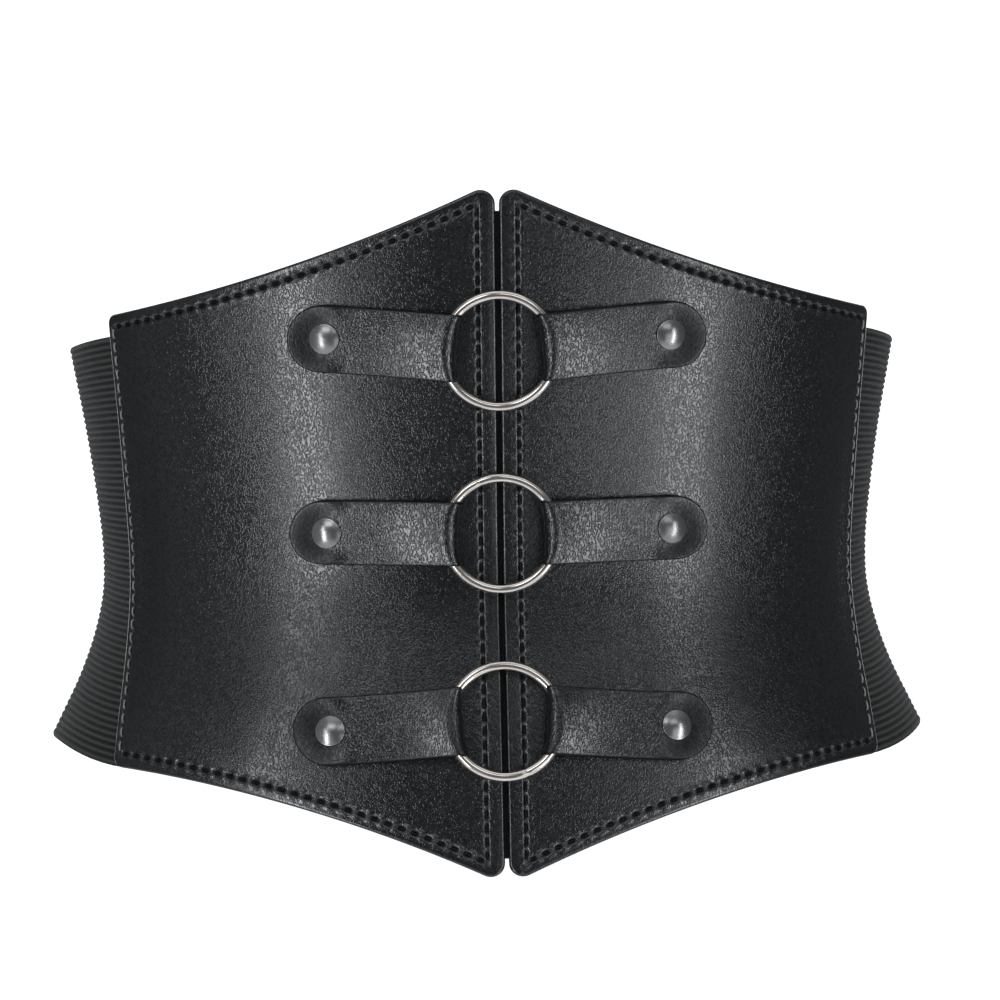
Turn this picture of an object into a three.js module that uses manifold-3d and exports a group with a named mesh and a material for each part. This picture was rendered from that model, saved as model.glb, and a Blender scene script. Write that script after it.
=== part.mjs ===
// A corset belt: two stiff leather front panels and a wide elastic round the back, with three
// rings over the centre gap, each held by two riveted straps.
// Millimetres, +Z up. The front faces -Y, +X is to the right of someone who looks at the front.
// The origin is on the axis of the waist, at the height of the waistline.

import * as THREE from "three";
import { mergeVertices } from "three/addons/utils/BufferGeometryUtils.js";
import Module from "manifold-3d";

const wasm = await Module();
wasm.setup();

// Body that the belt closes round, measured inside the belt at the waist
const WAIST_WIDTH = 245;
const WAIST_DEPTH = 175;

// Front panels: heights of the corners over and under the waistline, before they are rounded
const FRONT_RISE = 114;
const FRONT_DROP = 100.4;
const SIDE_RISE = 77;
const SIDE_DROP = 65.2;
const EDGE_SAG = 6.4;
const PANEL_REACH = 127;
const PANEL_LEAN = 3.4;
const PANEL_WALL = 2.5;
const TIP_RADIUS = 4.3;
const CORNER_RADIUS = 3;
const CENTRE_GAP = 1.8;
const EDGE_ROUND = 0.7;

// Elastic band and the strip behind the centre gap
const BAND_RISE = 70.5;
const BAND_DROP = 64.7;
const BAND_WALL = 1.5;
const BAND_TUCK = 12;
const PLACKET_WIDTH = 22;
const PLACKET_RISE = 105;
const PLACKET_DROP = 92.4;

// Rings, straps and rivets
const RING_OUTER = 37;
const RING_WIRE = 3;
const RING_PLAY = 0.65;
const STRAP_WIDTH = 20.2;
const STRAP_WALL = 1.2;
const STRAP_REACH = 62.8;
const RIVET_INSET = 11.2;
const RIVET_CAP = 9.3;
const RIVET_DOME = 1.7;
const RIVET_RIM = 0.5;
const RIVET_SHANK = 3;
const RIVET_BACK = 8;
const RIVET_BACK_WALL = 0.9;
const RIVET_DIMPLE = 0.8;
const RAMP_POWER = 1.8;

// Gap between pieces that touch on the real belt
const GAP = 0.35;

// Sections of the body. height is a share of FRONT_RISE above the waist and of FRONT_DROP
// below it, width and depth are shares of the waist's
const BODY_SECTIONS = [
  { height: -1.0, width: 1.26, depth: 1.125 },
  { height: -0.65, width: 1.172, depth: 1.09 },
  { height: -0.52, width: 1.122, depth: 1.07 },
  { height: -0.38, width: 1.067, depth: 1.044 },
  { height: -0.25, width: 1.028, depth: 1.021 },
  { height: -0.12, width: 1.004, depth: 1.004 },
  { height: 0.0, width: 1.0, depth: 1.0 },
  { height: 0.12, width: 1.009, depth: 1.007 },
  { height: 0.35, width: 1.039, depth: 1.029 },
  { height: 0.58, width: 1.078, depth: 1.057 },
  { height: 1.0, width: 1.145, depth: 1.1 },
];

// Edges of the elastic. round is the share of the way from the panel's edge to the centre of
// the back, top and bottom are shares of BAND_RISE and BAND_DROP
const BAND_SECTIONS = [
  { round: -0.1, top: 1.005, bottom: 1.01 },
  { round: 0.0, top: 1.0, bottom: 1.0 },
  { round: 0.17, top: 0.967, bottom: 0.895 },
  { round: 0.45, top: 0.957, bottom: 0.875 },
  { round: 1.0, top: 0.955, bottom: 0.87 },
];

// Fastenings over the centre gap. height is a share of FRONT_RISE above the waist and of
// FRONT_DROP below it, strap and rivet are how far the strap's middle stands over the ring's
// centre, at the ring and at the rivet, as shares of STRAP_WIDTH
const FASTENINGS = [
  { name: "top", height: 0.5505, strap: 0.07, rivet: 0.228 },
  { name: "middle", height: 0.061, strap: 0.0, rivet: 0.045 },
  { name: "bottom", height: -0.513, strap: -0.015, rivet: -0.13 },
];
const SIDES = [
  { name: "left", sign: -1 },
  { name: "right", sign: 1 },
];

// Layers, as distances out from the body
const PANEL_INNER = BAND_WALL + GAP;
const PANEL_OUTER = PANEL_INNER + PANEL_WALL;
const LOWER_LAYER = PANEL_OUTER + GAP + STRAP_WALL / 2;
const UPPER_LAYER = LOWER_LAYER + STRAP_WALL + GAP;
const RING_RADIUS = (RING_OUTER - RING_WIRE) / 2;
const WRAP_CLEARANCE = RING_WIRE / 2 + RING_PLAY;

// Stations along a strap's lower layer, as shares of the way from the wire to the outer end,
// and along its upper layer, as shares of the way from the wire to the rivet's cap
const LOWER_STATIONS = [1, 0.78, 0.56, 0.34, 0.12];
const UPPER_STATIONS = [0.12, 0.3, 0.6, 1];
const SETTLED_SHARE = 0.3;

// Columns of a panel inside its rounded corners, as shares of the corner's radius
const TIP_COLUMNS = [0, 0.12, 0.35, 0.7, 1.1, 1.6];
const CORNER_COLUMNS = [1, 0.55, 0.15, 0];

// How finely the curved walls are cut into flats
const ARC_STEPS = 360;
const PANEL_COLUMNS = 16;
const BAND_COLUMNS = 28;
const WRAP_STEPS = 6;
const STRAP_SLICES = 6;
const WIRE_SIDES = 8;
const RING_STEPS = 28;
const RIVET_SIDES = 16;
const DOME_STEPS = 3;
const HOLE_SIDES = 12;

// Value of one column of a table at a place, along a smooth curve through its rows
function readTable(rows, key, column, place) {
  const last = rows.length - 1;
  let i = 0;
  while (i < last - 1 && rows[i + 1][key] < place) {
    i += 1;
  }
  const slopeAt = (k) => {
    const before = rows[Math.max(k - 1, 0)];
    const after = rows[Math.min(k + 1, last)];
    return (after[column] - before[column]) / (after[key] - before[key]);
  };
  const span = rows[i + 1][key] - rows[i][key];
  const t = (place - rows[i][key]) / span;
  if (t < 0) {
    return rows[0][column] + slopeAt(0) * t * span;
  }
  if (t > 1) {
    return rows[last][column] + slopeAt(last) * (t - 1) * span;
  }
  const t2 = t * t;
  const t3 = t2 * t;
  const start = (2 * t3 - 3 * t2 + 1) * rows[i][column];
  const end = (3 * t2 - 2 * t3) * rows[i + 1][column];
  const leave = (t3 - 2 * t2 + t) * span * slopeAt(i);
  const arrive = (t3 - t2) * span * slopeAt(i + 1);
  return start + end + leave + arrive;
}

function heightShare(z) {
  return z < 0 ? z / FRONT_DROP : z / FRONT_RISE;
}

function heightFromShare(share) {
  return share < 0 ? share * FRONT_DROP : share * FRONT_RISE;
}

// The body's ellipse at a height
function ellipseAt(z) {
  const share = heightShare(z);
  return {
    halfWidth: (WAIST_WIDTH / 2) * readTable(BODY_SECTIONS, "height", "width", share),
    halfDepth: (WAIST_DEPTH / 2) * readTable(BODY_SECTIONS, "height", "depth", share),
  };
}

// Length of a short piece of the ellipse's outline round an angle
function arcPiece(ellipse, angle, step) {
  return step * Math.hypot(ellipse.halfWidth * Math.cos(angle), ellipse.halfDepth * Math.sin(angle));
}

function halfRound(z) {
  const ellipse = ellipseAt(z);
  const step = Math.PI / ARC_STEPS;
  let length = 0;
  for (let i = 0; i < ARC_STEPS; i += 1) {
    length += arcPiece(ellipse, (i + 0.5) * step, step);
  }
  return length;
}

// Point of the body at an arc length from the front's centre line and a height
function bodyPoint(arc, z) {
  const ellipse = ellipseAt(z);
  const step = Math.PI / ARC_STEPS;
  const target = Math.abs(arc);
  let walked = 0;
  let angle = 0;
  let piece = arcPiece(ellipse, step / 2, step);
  while (walked + piece < target) {
    walked += piece;
    angle += step;
    piece = arcPiece(ellipse, angle + step / 2, step);
  }
  angle += (step * (target - walked)) / piece;
  const x = Math.sign(arc) * ellipse.halfWidth * Math.sin(angle);
  return new THREE.Vector3(x, -ellipse.halfDepth * Math.cos(angle), z);
}

// Direction straight out of the body
function bodyNormal(arc, z) {
  const near = 0.5;
  const along = bodyPoint(arc + near, z).sub(bodyPoint(arc - near, z));
  const up = bodyPoint(arc, z + near).sub(bodyPoint(arc, z - near));
  return along.cross(up).normalize();
}

function onBody(arc, z, lift) {
  return bodyPoint(arc, z).addScaledVector(bodyNormal(arc, z), lift);
}

// Closed solid from points and triangles, with its faces pointing out
function closedGeometry(points, triangles) {
  let volume = 0;
  for (const [a, b, c] of triangles) {
    volume += points[a].dot(new THREE.Vector3().crossVectors(points[b], points[c]));
  }
  const facing = volume < 0 ? triangles.map(([a, b, c]) => [a, c, b]) : triangles;
  const geometry = new THREE.BufferGeometry();
  geometry.setAttribute("position", new THREE.Float32BufferAttribute(points.flatMap((p) => p.toArray()), 3));
  geometry.setIndex(facing.flat());
  return geometry;
}

function toSolid(geometry) {
  const bare = geometry.clone();
  bare.deleteAttribute("normal");
  bare.deleteAttribute("uv");
  const merged = mergeVertices(bare, 1e-4);
  const vertProperties = new Float32Array(merged.getAttribute("position").array);
  const triVerts = new Uint32Array(merged.getIndex().array);
  return new wasm.Manifold(new wasm.Mesh({ numProp: 3, vertProperties, triVerts }));
}

function toGeometry(solid) {
  const mesh = solid.getMesh();
  const geometry = new THREE.BufferGeometry();
  geometry.setAttribute("position", new THREE.BufferAttribute(mesh.vertProperties, 3));
  geometry.setIndex(new THREE.BufferAttribute(mesh.triVerts, 1));
  return geometry;
}

// Wall over a grid of places: an outer and an inner sheet, joined all round the border.
// grid[i][j] holds the arc length and height of a place, and the inner and outer lift there
function wallGeometry(grid) {
  const columns = grid.length;
  const rows = grid[0].length;
  const points = [];
  for (const column of grid) {
    for (const place of column) {
      points.push(onBody(place.arc, place.z, place.outer));
      points.push(onBody(place.arc, place.z, place.inner));
    }
  }
  const outer = (i, j) => 2 * (i * rows + j);
  const inner = (i, j) => outer(i, j) + 1;
  const triangles = [];
  const quad = (a, b, c, d) => triangles.push([a, b, c], [a, c, d]);
  for (let i = 0; i < columns - 1; i += 1) {
    for (let j = 0; j < rows - 1; j += 1) {
      quad(outer(i, j), outer(i + 1, j), outer(i + 1, j + 1), outer(i, j + 1));
      quad(inner(i, j), inner(i, j + 1), inner(i + 1, j + 1), inner(i + 1, j));
    }
    quad(inner(i, 0), inner(i + 1, 0), outer(i + 1, 0), outer(i, 0));
    quad(outer(i, rows - 1), outer(i + 1, rows - 1), inner(i + 1, rows - 1), inner(i, rows - 1));
  }
  for (let j = 0; j < rows - 1; j += 1) {
    quad(outer(0, j), outer(0, j + 1), inner(0, j + 1), inner(0, j));
    quad(inner(columns - 1, j), inner(columns - 1, j + 1), outer(columns - 1, j + 1), outer(columns - 1, j));
  }
  return closedGeometry(points, triangles);
}

// Places from one end to the other: a narrow step at each end for the rounded border
function spread(from, to, steps, border) {
  const places = [from];
  for (let i = 0; i <= steps; i += 1) {
    places.push(from + border + ((to - from - 2 * border) * i) / steps);
  }
  places.push(to);
  return places;
}

// Heights of a wall's rows: the body's sections squeezed between the wall's two edges, with
// the same narrow step at each end
function wallRows(bottom, top, border) {
  const inside = BODY_SECTIONS.map((section) => {
    const edge = section.height < 0 ? -(bottom + border) : top - border;
    return section.height * edge;
  });
  const upper = (inside[inside.length - 2] + inside[inside.length - 1]) / 2;
  const lower = (inside[0] + inside[1]) / 2;
  return [bottom, inside[0], lower, ...inside.slice(1, -1), upper, inside[inside.length - 1], top];
}

// Grid for a wall whose border is thinner than its middle by the rounding of its edge. Each
// column has the heights of its rows, and the arc length that it stands at for a height
function roundedGrid(columns, innerLift, outerLift) {
  const round = Math.min(EDGE_ROUND, (outerLift - innerLift) / 4);
  return columns.map(({ heights, arcAt }, i) => {
    return heights.map((z, j) => {
      const border = i === 0 || j === 0 || i === columns.length - 1 || j === heights.length - 1;
      const thinner = border ? round : 0;
      return { arc: arcAt(z), z, inner: innerLift + thinner, outer: outerLift - thinner };
    });
  });
}

// Distance of a panel's upper or lower edge from the waistline, at an arc length from its
// centre edge: a sagging line between two corners, both rounded
function panelEdge(arc, centre, side) {
  const start = CENTRE_GAP / 2;
  const width = PANEL_REACH - start;
  const line = (at) => {
    const share = (at - start) / width;
    return centre + (side - centre) * share - 4 * EDGE_SAG * share * (1 - share);
  };
  const slope = (centre - side + 4 * EDGE_SAG) / width;
  const secant = Math.hypot(1, slope);
  const tipCentre = line(start) - TIP_RADIUS * (slope + secant);
  if (arc < start + TIP_RADIUS * (1 + slope / secant)) {
    const across = arc - start - TIP_RADIUS;
    return tipCentre + Math.sqrt(Math.max(TIP_RADIUS ** 2 - across ** 2, 0));
  }
  const past = Math.max(arc - (PANEL_REACH - CORNER_RADIUS), 0);
  return line(arc) - CORNER_RADIUS + Math.sqrt(Math.max(CORNER_RADIUS ** 2 - past ** 2, 0));
}

// Columns of a panel, closer together where the corners are rounded
function panelArcs() {
  const tip = TIP_COLUMNS.map((share) => CENTRE_GAP / 2 + share * TIP_RADIUS);
  const corner = CORNER_COLUMNS.map((share) => PANEL_REACH - share * CORNER_RADIUS);
  const first = tip[tip.length - 1];
  const middle = [];
  for (let i = 1; i < PANEL_COLUMNS; i += 1) {
    middle.push(first + ((corner[0] - first) * i) / PANEL_COLUMNS);
  }
  return [...tip, ...middle, ...corner];
}

function panelSolid(side) {
  const leanAt = (z) => 1 + ((PANEL_LEAN / PANEL_REACH) * Math.max(z, 0)) / SIDE_RISE;
  const columns = panelArcs().map((arc) => {
    const top = panelEdge(arc, FRONT_RISE, SIDE_RISE);
    const bottom = -panelEdge(arc, FRONT_DROP, SIDE_DROP);
    const arcAt = (z) => side.sign * arc * leanAt(z);
    return { heights: wallRows(bottom, top, EDGE_ROUND), arcAt };
  });
  let solid = toSolid(wallGeometry(roundedGrid(columns, PANEL_INNER, PANEL_OUTER)));
  for (const fastening of FASTENINGS) {
    solid = solid.subtract(rivetHole(rivetPlace(fastening, side)));
  }
  return toGeometry(solid);
}

function placketGeometry() {
  const heights = wallRows(-PLACKET_DROP, PLACKET_RISE, EDGE_ROUND);
  const arcs = spread(-PLACKET_WIDTH / 2, PLACKET_WIDTH / 2, 2, EDGE_ROUND);
  const columns = arcs.map((arc) => ({ heights, arcAt: () => arc }));
  return wallGeometry(roundedGrid(columns, 0, BAND_WALL));
}

// The band's columns follow shares of the way round, so that its ends stay at the same arc
// length from the front's centre line at every height
function bandGeometry() {
  const start = PANEL_REACH - BAND_TUCK;
  const backLength = halfRound(0) - start;
  const shares = spread(0, 1, BAND_COLUMNS, EDGE_ROUND / (2 * backLength));
  const columns = shares.map((share) => {
    const fromEnd = Math.min(share, 1 - share) * 2;
    const around = (fromEnd * backLength - BAND_TUCK) / (backLength - BAND_TUCK);
    const top = BAND_RISE * readTable(BAND_SECTIONS, "round", "top", around);
    const bottom = -BAND_DROP * readTable(BAND_SECTIONS, "round", "bottom", around);
    const arcAt = (z) => start + 2 * (halfRound(z) - start) * share;
    return { heights: wallRows(bottom, top, EDGE_ROUND), arcAt };
  });
  return wallGeometry(roundedGrid(columns, 0, BAND_WALL));
}

// Plane of a ring: it lies against the front's centre, as close as the straps' lower layers
// let the wire come. fall is how far the body falls behind that plane, and fan how much wider
// a distance round the body is at the wire
function ringPlace(fastening) {
  const z = heightFromShare(fastening.height);
  const touch = bodyPoint(0, z);
  const normal = bodyNormal(0, z);
  const fall = (arc, height) => touch.clone().sub(bodyPoint(arc, height)).dot(normal);
  const needed = LOWER_LAYER + STRAP_WALL / 2 + WRAP_CLEARANCE;
  const fan = onBody(RING_RADIUS, z, needed).x / RING_RADIUS;
  let lift = PANEL_OUTER + WRAP_CLEARANCE;
  for (let i = -STRAP_SLICES; i <= STRAP_SLICES; i += 1) {
    const across = ((STRAP_WIDTH / 2) * i) / STRAP_SLICES;
    const reach = Math.sqrt(RING_RADIUS ** 2 - across ** 2) / fan;
    lift = Math.max(lift, needed - fall(reach, z + across));
  }
  for (const pole of [-RING_RADIUS, RING_RADIUS]) {
    lift = Math.max(lift, PANEL_OUTER + WRAP_CLEARANCE - fall(0, z + pole));
  }
  return { z, normal, lift, fan, fall, centre: touch.clone().addScaledVector(normal, lift) };
}

function ringMesh(fastening, material) {
  const place = ringPlace(fastening);
  const ring = new THREE.Mesh(
    new THREE.TorusGeometry(RING_RADIUS, RING_WIRE / 2, WIRE_SIDES, RING_STEPS),
    material,
  );
  ring.name = `ring_${fastening.name}`;
  ring.position.copy(place.centre);
  ring.quaternion.setFromUnitVectors(new THREE.Vector3(0, 0, 1), place.normal);
  return ring;
}

// Line of a strap's middle, from the ring's centre line to the rivet, in arc length and height
function strapLine(fastening, side) {
  const z = heightFromShare(fastening.height);
  const rivetArc = STRAP_REACH - RIVET_INSET;
  const rise = (fastening.rivet - fastening.strap) * STRAP_WIDTH;
  const angle = Math.atan2(rise, rivetArc - RING_RADIUS);
  const along = { arc: Math.cos(angle), z: Math.sin(angle) };
  const foot = fastening.strap * STRAP_WIDTH - RING_RADIUS * Math.tan(angle);
  const length = rivetArc / along.arc;
  const place = (reach, across) => ({
    arc: side.sign * (reach * along.arc - across * along.z),
    z: z + foot + reach * along.z + across * along.arc,
  });
  return { foot, along, length, place };
}

// Where a ring's wire crosses a strap, for a line along the strap beside its middle. slant is
// the cosine of the angle between the line and the straight way out of the ring
function wireCrossing(line, across, fan) {
  const from = { x: -across * line.along.z * fan, z: line.foot + across * line.along.arc };
  const along = { x: line.along.arc * fan, z: line.along.z };
  const a = along.x ** 2 + along.z ** 2;
  const b = from.x * along.x + from.z * along.z;
  const c = from.x ** 2 + from.z ** 2 - RING_RADIUS ** 2;
  const reach = (-b + Math.sqrt(b ** 2 - a * c)) / a;
  return { reach, slant: (b + reach * a) / RING_RADIUS };
}

// Middle of a strap's leather, from the end of its lower layer, round the wire, to the end of
// its upper layer. Each station has a reach from the ring's centre line and a lift
function strapStations(fastening, side, across) {
  const line = strapLine(fastening, side);
  const ring = ringPlace(fastening);
  const wire = wireCrossing(line, across, ring.fan);
  const crossing = line.place(wire.reach, across);
  const wireLift = ring.lift + ring.fall(crossing.arc, crossing.z);
  const half = STRAP_WIDTH / 2;
  const roundEnd = Math.sqrt(Math.max(half ** 2 - across ** 2, 0));
  const end = line.length + RIVET_INSET - half + roundEnd;
  const span = line.length - RIVET_CAP / 2 - wire.reach;
  const turn = WRAP_CLEARANCE + STRAP_WALL / 2;
  const stations = [];
  for (const share of LOWER_STATIONS) {
    const reach = wire.reach + (end - wire.reach) * share;
    stations.push({ reach, lift: LOWER_LAYER });
  }
  for (let i = 0; i <= WRAP_STEPS; i += 1) {
    const angle = -Math.PI / 2 + (Math.PI * i) / WRAP_STEPS;
    const depth = WRAP_CLEARANCE / wire.slant + STRAP_WALL / 2;
    stations.push({
      reach: wire.reach - depth * Math.cos(angle),
      lift: wireLift + turn * Math.sin(angle),
    });
  }
  const capEdge = line.length - RIVET_CAP / 2;
  const reaches = UPPER_STATIONS.map((share) => wire.reach + span * share);
  reaches.push((capEdge + end) / 2, end);
  for (const reach of reaches) {
    const share = Math.min((reach - wire.reach) / span, 1);
    const ramp = (wireLift + turn - UPPER_LAYER) * (1 - share) ** RAMP_POWER;
    const fromCap = Math.max(Math.hypot(reach - line.length, across) - RIVET_CAP / 2, 0);
    const puff = RIVET_DIMPLE * (1 - Math.exp(-((fromCap / (RIVET_CAP / 2)) ** 2)));
    stations.push({ reach, lift: UPPER_LAYER + ramp + puff * Math.min(share / SETTLED_SHARE, 1) });
  }
  return stations;
}

// Both faces of the leather along the stations, as one closed outline
function strapOutline(stations) {
  const faces = [[], []];
  for (let i = 0; i < stations.length; i += 1) {
    const before = stations[Math.max(i - 1, 0)];
    const after = stations[Math.min(i + 1, stations.length - 1)];
    const length = Math.hypot(after.reach - before.reach, after.lift - before.lift);
    const across = {
      reach: -(after.lift - before.lift) / length,
      lift: (after.reach - before.reach) / length,
    };
    faces.forEach((face, k) => {
      const away = k === 0 ? STRAP_WALL / 2 : -STRAP_WALL / 2;
      face.push({
        reach: stations[i].reach + across.reach * away,
        lift: stations[i].lift + across.lift * away,
      });
    });
  }
  return [...faces[0], ...faces[1].reverse()];
}

function strapGeometry(fastening, side) {
  const line = strapLine(fastening, side);
  const points = [];
  const triangles = [];
  let size = 0;
  for (let slice = 0; slice <= STRAP_SLICES; slice += 1) {
    const across = -(STRAP_WIDTH / 2) * Math.cos((Math.PI * slice) / STRAP_SLICES);
    const outline = strapOutline(strapStations(fastening, side, across));
    size = outline.length;
    for (const { reach, lift } of outline) {
      const place = line.place(reach, across);
      points.push(onBody(place.arc, place.z, lift));
    }
  }
  for (let slice = 0; slice < STRAP_SLICES; slice += 1) {
    for (let i = 0; i < size; i += 1) {
      const next = (i + 1) % size;
      const a = slice * size + i;
      const b = slice * size + next;
      triangles.push([a, b, b + size], [a, b + size, a + size]);
    }
  }
  const last = STRAP_SLICES * size;
  for (let i = 0; i < size / 2 - 1; i += 1) {
    const a = i;
    const b = i + 1;
    const c = size - 2 - i;
    const d = size - 1 - i;
    triangles.push([a, c, b], [a, d, c]);
    triangles.push([last + a, last + b, last + c], [last + a, last + c, last + d]);
  }
  const solid = toSolid(closedGeometry(points, triangles));
  return toGeometry(solid.subtract(rivetHole(rivetPlace(fastening, side))));
}

// Foot of a rivet's axis on the body, and the axis
function rivetPlace(fastening, side) {
  const line = strapLine(fastening, side);
  const place = line.place(line.length, 0);
  return { foot: bodyPoint(place.arc, place.z), axis: bodyNormal(place.arc, place.z) };
}

function rivetHole(place) {
  const depth = 4 * UPPER_LAYER;
  const hole = new THREE.CylinderGeometry(
    RIVET_SHANK / 2 + GAP,
    RIVET_SHANK / 2 + GAP,
    depth,
    HOLE_SIDES,
  );
  const turn = new THREE.Quaternion().setFromUnitVectors(new THREE.Vector3(0, 1, 0), place.axis);
  hole.applyQuaternion(turn);
  hole.translate(place.foot.x, place.foot.y, place.foot.z);
  return toSolid(hole);
}

function rivetMesh(fastening, side, material) {
  const backTop = PANEL_INNER - GAP;
  const backBottom = backTop - RIVET_BACK_WALL;
  const capBottom = UPPER_LAYER + STRAP_WALL / 2 + GAP;
  const rimTop = capBottom + RIVET_RIM;
  const capRadius = RIVET_CAP / 2;
  const sphere = (capRadius ** 2 + RIVET_DOME ** 2) / (2 * RIVET_DOME);
  const profile = [
    new THREE.Vector2(0, backBottom),
    new THREE.Vector2(RIVET_BACK / 2, backBottom),
    new THREE.Vector2(RIVET_BACK / 2, backTop),
    new THREE.Vector2(RIVET_SHANK / 2, backTop),
    new THREE.Vector2(RIVET_SHANK / 2, capBottom),
    new THREE.Vector2(capRadius, capBottom),
  ];
  for (let i = 0; i <= DOME_STEPS; i += 1) {
    const radius = capRadius * Math.cos((Math.PI / 2) * (i / DOME_STEPS));
    const height = rimTop + RIVET_DOME - sphere + Math.sqrt(sphere ** 2 - radius ** 2);
    profile.push(new THREE.Vector2(i === DOME_STEPS ? 0 : radius, height));
  }
  const rivet = new THREE.Mesh(new THREE.LatheGeometry(profile, RIVET_SIDES), material);
  const place = rivetPlace(fastening, side);
  rivet.name = `rivet_${fastening.name}_${side.name}`;
  rivet.position.copy(place.foot);
  rivet.quaternion.setFromUnitVectors(new THREE.Vector3(0, 1, 0), place.axis);
  return rivet;
}

const materials = {
  panel: new THREE.MeshStandardMaterial({ color: 0x141516, roughness: 0.42, metalness: 0 }),
  strap: new THREE.MeshStandardMaterial({ color: 0x161718, roughness: 0.48, metalness: 0 }),
  elastic: new THREE.MeshStandardMaterial({ color: 0x2c2c2c, roughness: 0.9, metalness: 0 }),
  placket: new THREE.MeshStandardMaterial({ color: 0x0c0c0d, roughness: 0.85, metalness: 0 }),
  ring: new THREE.MeshStandardMaterial({ color: 0xb9b0a4, roughness: 0.14, metalness: 1 }),
  rivet: new THREE.MeshStandardMaterial({ color: 0xa9abad, roughness: 0.2, metalness: 1 }),
};

function named(name, geometry, material) {
  const mesh = new THREE.Mesh(geometry, material);
  mesh.name = name;
  return mesh;
}

const belt = new THREE.Group();
belt.add(named("elastic_band", bandGeometry(), materials.elastic));
belt.add(named("front_placket", placketGeometry(), materials.placket));
for (const side of SIDES) {
  belt.add(named(`panel_${side.name}`, panelSolid(side), materials.panel));
}
for (const fastening of FASTENINGS) {
  belt.add(ringMesh(fastening, materials.ring));
  for (const side of SIDES) {
    const strap = strapGeometry(fastening, side);
    belt.add(named(`strap_${fastening.name}_${side.name}`, strap, materials.strap));
    belt.add(rivetMesh(fastening, side, materials.rivet));
  }
}

export default belt;
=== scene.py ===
# Looks of the corset belt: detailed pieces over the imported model, materials, light and camera.
# Metres, +Z up. The front faces -Y, +X is to the right of someone who looks at the front.

import math

import bpy
import numpy as np
from mathutils import Matrix, Quaternion, Vector


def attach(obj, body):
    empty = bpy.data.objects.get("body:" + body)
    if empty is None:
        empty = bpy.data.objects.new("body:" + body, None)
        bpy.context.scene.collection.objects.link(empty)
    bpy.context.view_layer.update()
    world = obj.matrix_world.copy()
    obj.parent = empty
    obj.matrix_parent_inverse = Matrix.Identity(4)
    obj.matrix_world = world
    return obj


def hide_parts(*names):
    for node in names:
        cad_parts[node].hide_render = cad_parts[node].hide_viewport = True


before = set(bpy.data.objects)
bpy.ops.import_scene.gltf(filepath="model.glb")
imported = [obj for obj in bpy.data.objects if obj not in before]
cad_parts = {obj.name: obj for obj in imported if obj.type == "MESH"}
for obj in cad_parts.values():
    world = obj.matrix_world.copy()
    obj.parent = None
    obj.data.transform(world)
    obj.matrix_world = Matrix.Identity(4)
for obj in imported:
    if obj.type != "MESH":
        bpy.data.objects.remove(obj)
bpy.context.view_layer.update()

MM = 0.001

# Sizes of the belt
WAIST_WIDTH = 245 * MM
WAIST_DEPTH = 175 * MM
FRONT_RISE = 114 * MM
FRONT_DROP = 100.4 * MM
SIDE_RISE = 77 * MM
SIDE_DROP = 65.2 * MM
EDGE_SAG = 6.4 * MM
PANEL_REACH = 127 * MM
PANEL_LEAN = 3.4 * MM
PANEL_WALL = 2.5 * MM
TIP_RADIUS = 4.3 * MM
CORNER_RADIUS = 3 * MM
CENTRE_GAP = 1.1 * MM
BAND_RISE = 70.5 * MM
BAND_DROP = 64.7 * MM
BAND_WALL = 1.5 * MM
BAND_TUCK = 12 * MM
PLACKET_WIDTH = 22 * MM
PLACKET_RISE = 105 * MM
PLACKET_DROP = 92.4 * MM
RING_OUTER = 37 * MM
RING_WIRE = 3 * MM
RING_PLAY = 0.65 * MM
STRAP_WIDTH = 20.2 * MM
STRAP_WALL = 1.2 * MM
STRAP_REACH = 62.8 * MM
RIVET_INSET = 11.2 * MM
RIVET_CAP = 9.3 * MM
RIVET_DOME = 0.9 * MM
RIVET_RIM = 0.5 * MM
RIVET_SHANK = 3 * MM
RIVET_BACK = 8 * MM
RIVET_BACK_WALL = 0.9 * MM
GAP = 0.35 * MM

# How steeply a strap comes down from its ring, and the dimple round its rivet
RAMP_POWER = 2.7
RIVET_DIMPLE = 1.4 * MM
DIMPLE_RISE = 6.5 * MM

# Sections of the body. Columns: height as a share of the front's rise or drop, width and depth
# as shares of the waist's
BODY_SECTIONS = np.array([
    (-1.0, 1.26, 1.125),
    (-0.65, 1.172, 1.09),
    (-0.52, 1.122, 1.07),
    (-0.38, 1.067, 1.044),
    (-0.25, 1.028, 1.021),
    (-0.12, 1.004, 1.004),
    (0.0, 1.0, 1.0),
    (0.12, 1.009, 1.007),
    (0.35, 1.039, 1.029),
    (0.58, 1.078, 1.057),
    (1.0, 1.145, 1.1),
])

# Edges of the elastic. Columns: share of the way from the panel to the centre of the back, top
# and bottom as shares of the band's rise and drop
BAND_SECTIONS = np.array([
    (-0.1, 1.005, 1.01),
    (0.0, 1.0, 1.0),
    (0.17, 0.967, 0.895),
    (0.45, 0.957, 0.875),
    (1.0, 0.955, 0.87),
])

# Fastenings: height of the ring as a share of the front's rise or drop, how far the strap's
# middle stands over it at the ring and at the rivet as shares of the strap's width, and where
# the ring's wire is joined, in degrees from the right
FASTENINGS = {
    "top": {"height": 0.5505, "strap": 0.07, "rivet": 0.228, "joint": 250},
    "middle": {"height": 0.061, "strap": 0.0, "rivet": 0.045, "joint": 112},
    "bottom": {"height": -0.513, "strap": -0.015, "rivet": -0.13, "joint": 292},
}
SIDES = {"left": -1, "right": 1}

PANEL_INNER = BAND_WALL + GAP
PANEL_OUTER = PANEL_INNER + PANEL_WALL
LOWER_LAYER = PANEL_OUTER + GAP + STRAP_WALL / 2
UPPER_LAYER = LOWER_LAYER + STRAP_WALL + GAP
RING_RADIUS = (RING_OUTER - RING_WIRE) / 2
WRAP_CLEARANCE = RING_WIRE / 2 + RING_PLAY
PANEL_START = CENTRE_GAP / 2

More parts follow.
